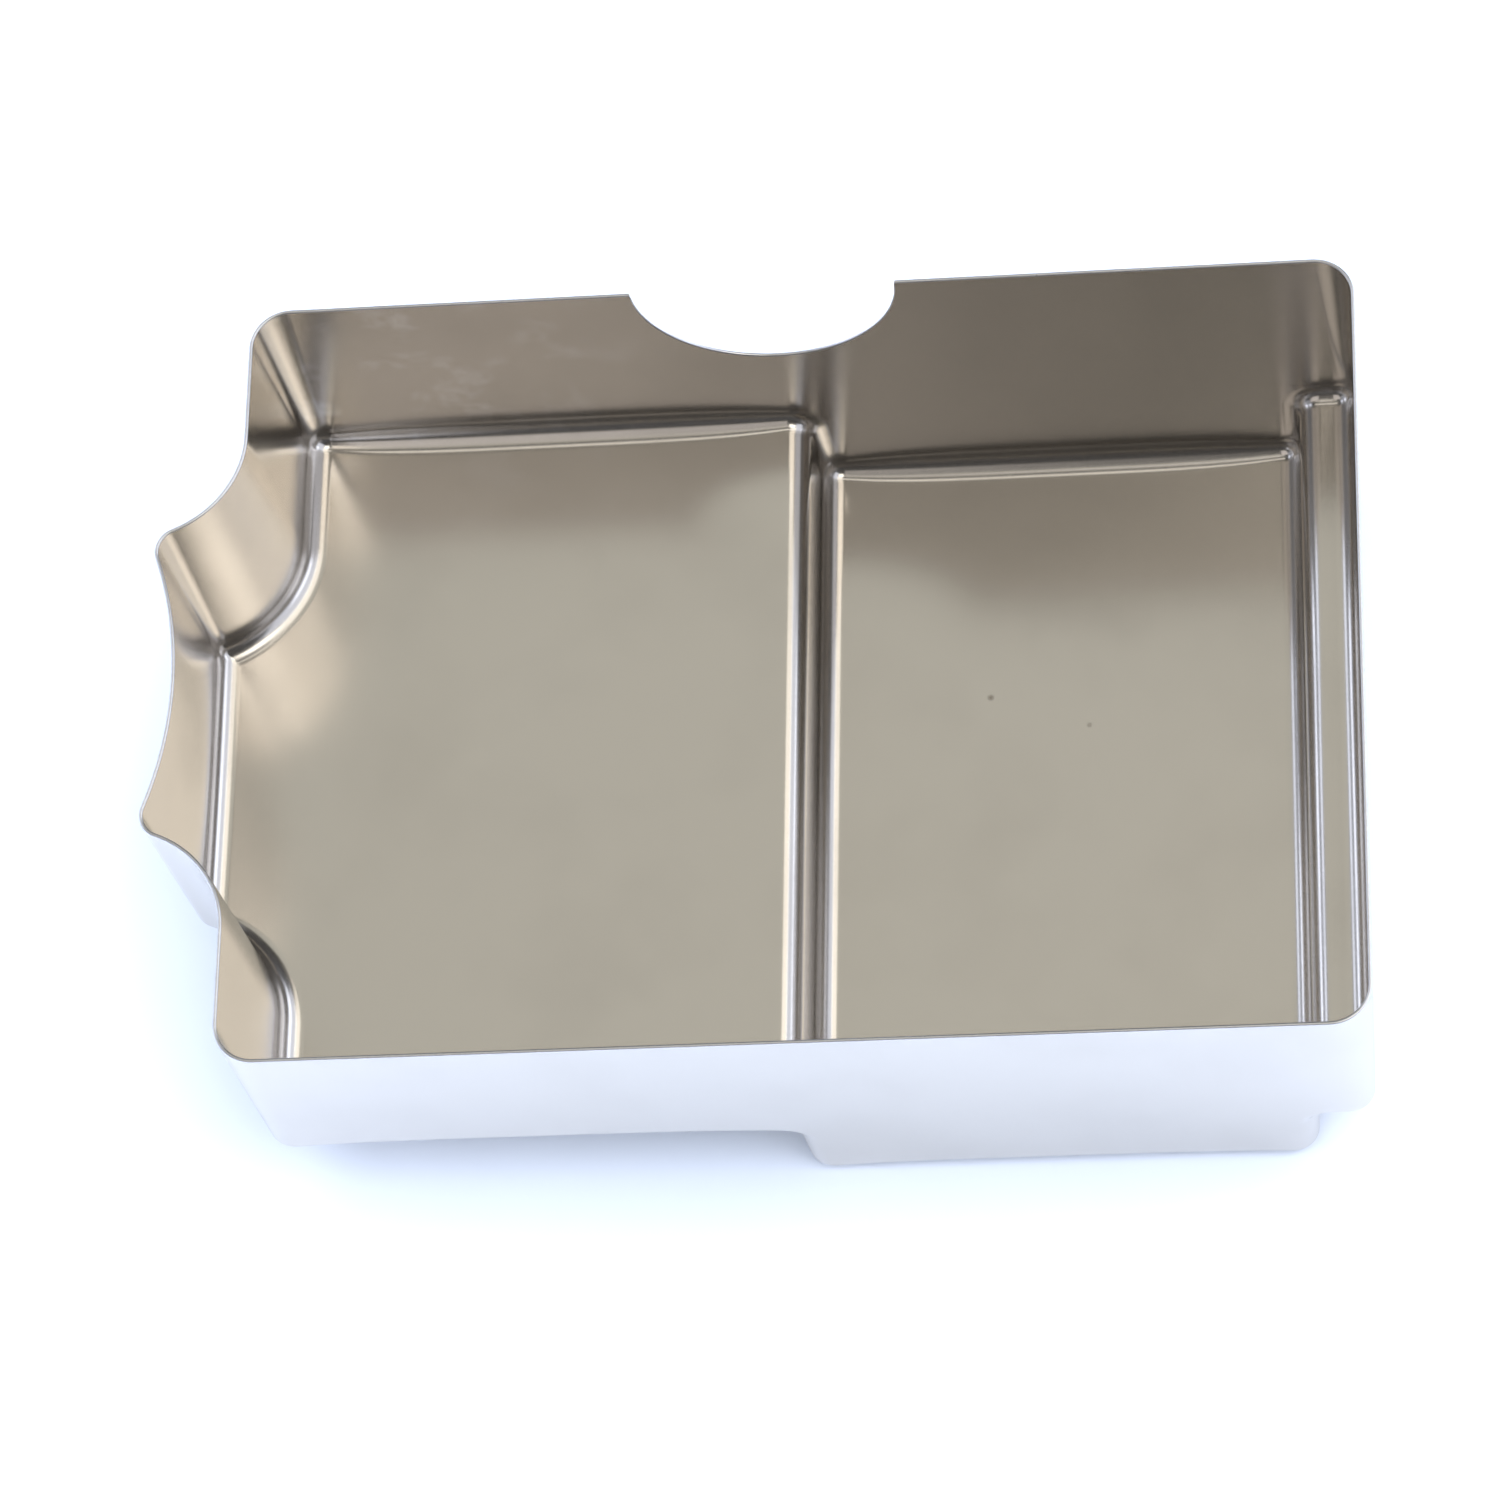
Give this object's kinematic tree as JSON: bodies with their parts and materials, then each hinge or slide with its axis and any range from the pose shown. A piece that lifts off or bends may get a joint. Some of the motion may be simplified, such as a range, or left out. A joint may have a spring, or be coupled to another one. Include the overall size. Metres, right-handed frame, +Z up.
{
  "type": "pill counting tray",
  "caption": "Pressed sheet-metal counting tray with a shallow and a deep compartment, a pouring nose and a half-round notch in its back wall.",
  "frame": {"origin": "middle of the bounding box, on the plane of the deep floor's underside", "axes": "+X along the length, away from the pouring nose; +Y towards the notched back wall; +Z up"},
  "size_m": [0.183, 0.125, 0.0576],
  "materials": {
    "satin_steel": "satin, tumbled and lightly polished after drawing"
  },
  "bodies": {
    "root": {"tray_shell": "satin_steel"}
  },
  "joints": []
}
